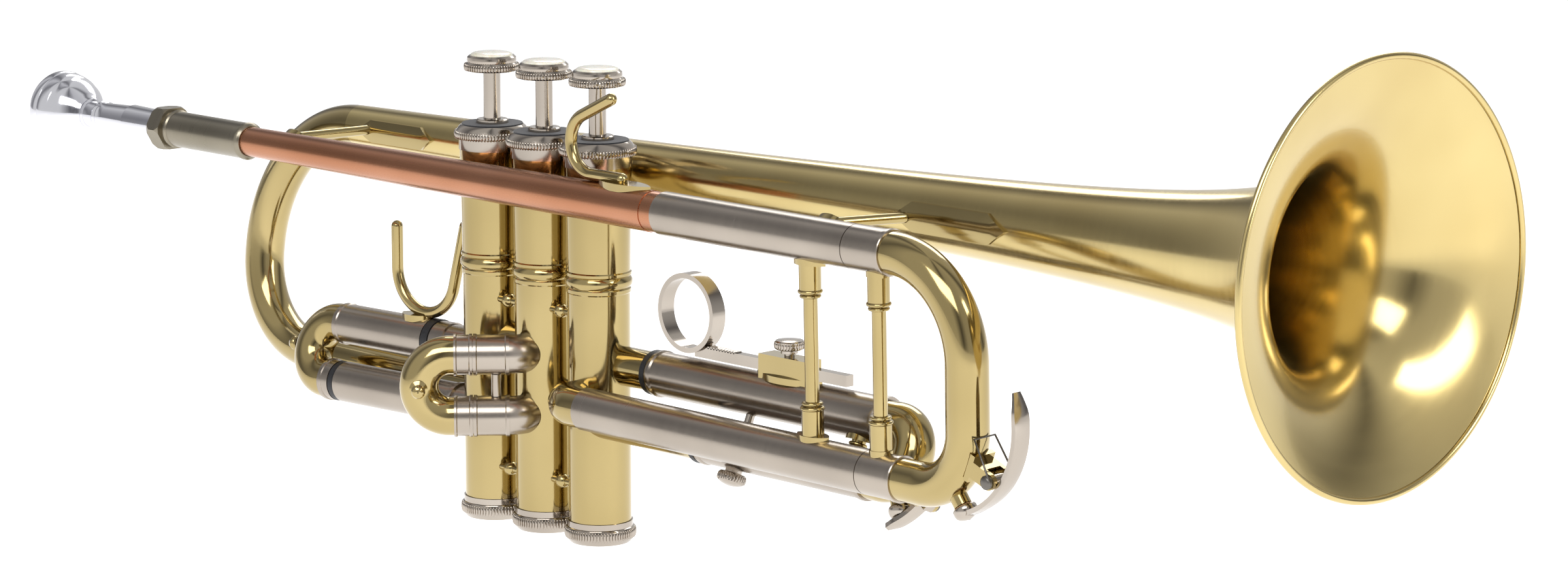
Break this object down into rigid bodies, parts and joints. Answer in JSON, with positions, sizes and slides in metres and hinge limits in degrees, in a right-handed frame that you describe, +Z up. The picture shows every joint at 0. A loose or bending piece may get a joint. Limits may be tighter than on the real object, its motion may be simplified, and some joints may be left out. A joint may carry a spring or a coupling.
{
  "type": "trumpet",
  "caption": "Piston-valve trumpet in lacquered brass with nickel-silver slides, pearl finger buttons and a removable silver mouthpiece.",
  "frame": {"origin": "axis of the middle valve at the underside of its bottom cap", "axes": "+X along the leadpipe towards the bell, +Y towards the side the bell tube is on, +Z up along the valves"},
  "size_m": [0.5535, 0.1259, 0.1785],
  "materials": {
    "lacquered_brass": "polished brass under clear lacquer",
    "nickel_silver": "polished nickel silver",
    "silver_plate": "bright silver plate",
    "rose_brass": "polished rose brass under clear lacquer",
    "pearl_inlay": "polished pearl",
    "nylon": "moulded nylon",
    "felt": "pressed wool felt",
    "rubber": "moulded rubber",
    "cork": "natural cork",
    "spring_steel": "drawn spring wire"
  },
  "bodies": {
    "horn": {"casing_1": "lacquered_brass", "casing_2": "lacquered_brass", "casing_3": "lacquered_brass", "casing_links": "lacquered_brass", "top_caps": "nickel_silver", "cap_felts": "felt", "bottom_caps": "nickel_silver", "valve_guides": "nylon", "leadpipe": "rose_brass", "receiver": "nickel_silver", "main_slide_tubes": "nickel_silver", "lower_knuckle": "lacquered_brass", "bell": "lacquered_brass", "bell_bow": "lacquered_brass", "horn_braces": "lacquered_brass", "pinky_hook": "lacquered_brass", "slide_1_ports": "nickel_silver", "slide_2_ports": "nickel_silver", "slide_3_ports": "lacquered_brass", "slide_bumpers": "rubber"},
    "mouthpiece": {"mouthpiece": "silver_plate"},
    "tuning_slide": {"tuning_bow": "lacquered_brass", "tuning_legs": "nickel_silver", "tuning_brace": "lacquered_brass", "main_key_saddle": "lacquered_brass", "main_key_spring": "spring_steel"},
    "main_key": {"main_key_lever": "nickel_silver", "main_key_cork": "cork"},
    "slide_1": {"slide_1_legs": "nickel_silver", "slide_1_bow": "lacquered_brass", "slide_1_bumper": "rubber", "thumb_hook": "lacquered_brass"},
    "slide_2": {"slide_2_legs": "nickel_silver", "slide_2_bow": "lacquered_brass"},
    "slide_3": {"slide_3_legs": "nickel_silver", "slide_3_bow": "lacquered_brass", "slide_3_brace": "lacquered_brass", "lyre_screw": "nickel_silver", "ring_saddle": "lacquered_brass", "ring_screw": "nickel_silver", "third_key_saddle": "lacquered_brass", "third_key_spring": "spring_steel"},
    "ring": {"finger_ring": "nickel_silver"},
    "third_key": {"third_key_lever": "nickel_silver", "third_key_cork": "cork"},
    "valve_1": {"piston_1": "nickel_silver", "valve_stem_1": "nickel_silver", "finger_button_1": "nickel_silver", "button_pearl_1": "pearl_inlay", "valve_spring_1": "spring_steel"},
    "valve_2": {"piston_2": "nickel_silver", "valve_stem_2": "nickel_silver", "finger_button_2": "nickel_silver", "button_pearl_2": "pearl_inlay", "valve_spring_2": "spring_steel"},
    "valve_3": {"piston_3": "nickel_silver", "valve_stem_3": "nickel_silver", "finger_button_3": "nickel_silver", "button_pearl_3": "pearl_inlay", "valve_spring_3": "spring_steel"}
  },
  "joints": [
    {"name": "mouthpiece_pull", "type": "slide", "parent": "horn", "child": "mouthpiece", "axis": [-1, 0, 0], "range_m": [0, 0.026]},
    {"name": "tuning_slide_pull", "type": "slide", "parent": "horn", "child": "tuning_slide", "axis": [1, 0, 0], "range_m": [0, 0.045]},
    {"name": "main_key_press", "type": "hinge", "parent": "tuning_slide", "child": "main_key", "pos_m": [0.211, -0.01636, 0.0517], "axis": [0, -0.9996, -0.0274], "range_deg": [0, 16], "stiffness_Nm_per_rad": 0.05, "springref_deg": -17.19},
    {"name": "slide_1_pull", "type": "slide", "parent": "horn", "child": "slide_1", "axis": [-0.9972, -0.075, 0], "range_m": [0, 0.025]},
    {"name": "slide_2_pull", "type": "slide", "parent": "horn", "child": "slide_2", "axis": [-0.6561, -0.7547, 0], "range_m": [0, 0.008]},
    {"name": "slide_3_pull", "type": "slide", "parent": "horn", "child": "slide_3", "axis": [1, 0, 0], "range_m": [0, 0.03]},
    {"name": "ring_shift", "type": "slide", "parent": "slide_3", "child": "ring", "axis": [1, 0, 0], "range_m": [-0.008, 0.012]},
    {"name": "third_key_press", "type": "hinge", "parent": "slide_3", "child": "third_key", "pos_m": [0.17082, -0.00473, 0.0372], "axis": [0, -0.9157, 0.4019], "range_deg": [0, 12], "stiffness_Nm_per_rad": 0.03, "springref_deg": -17.19},
    {"name": "valve_1_press", "type": "slide", "parent": "horn", "child": "valve_1", "axis": [0, 0, -1], "range_m": [0, 0.015], "stiffness_N_per_m": 60, "springref_m": -0.03, "deforming": ["valve_spring_1"]},
    {"name": "valve_2_press", "type": "slide", "parent": "horn", "child": "valve_2", "axis": [0, 0, -1], "range_m": [0, 0.015], "stiffness_N_per_m": 60, "springref_m": -0.03, "deforming": ["valve_spring_2"]},
    {"name": "valve_3_press", "type": "slide", "parent": "horn", "child": "valve_3", "axis": [0, 0, -1], "range_m": [0, 0.015], "stiffness_N_per_m": 60, "springref_m": -0.03, "deforming": ["valve_spring_3"]}
  ]
}
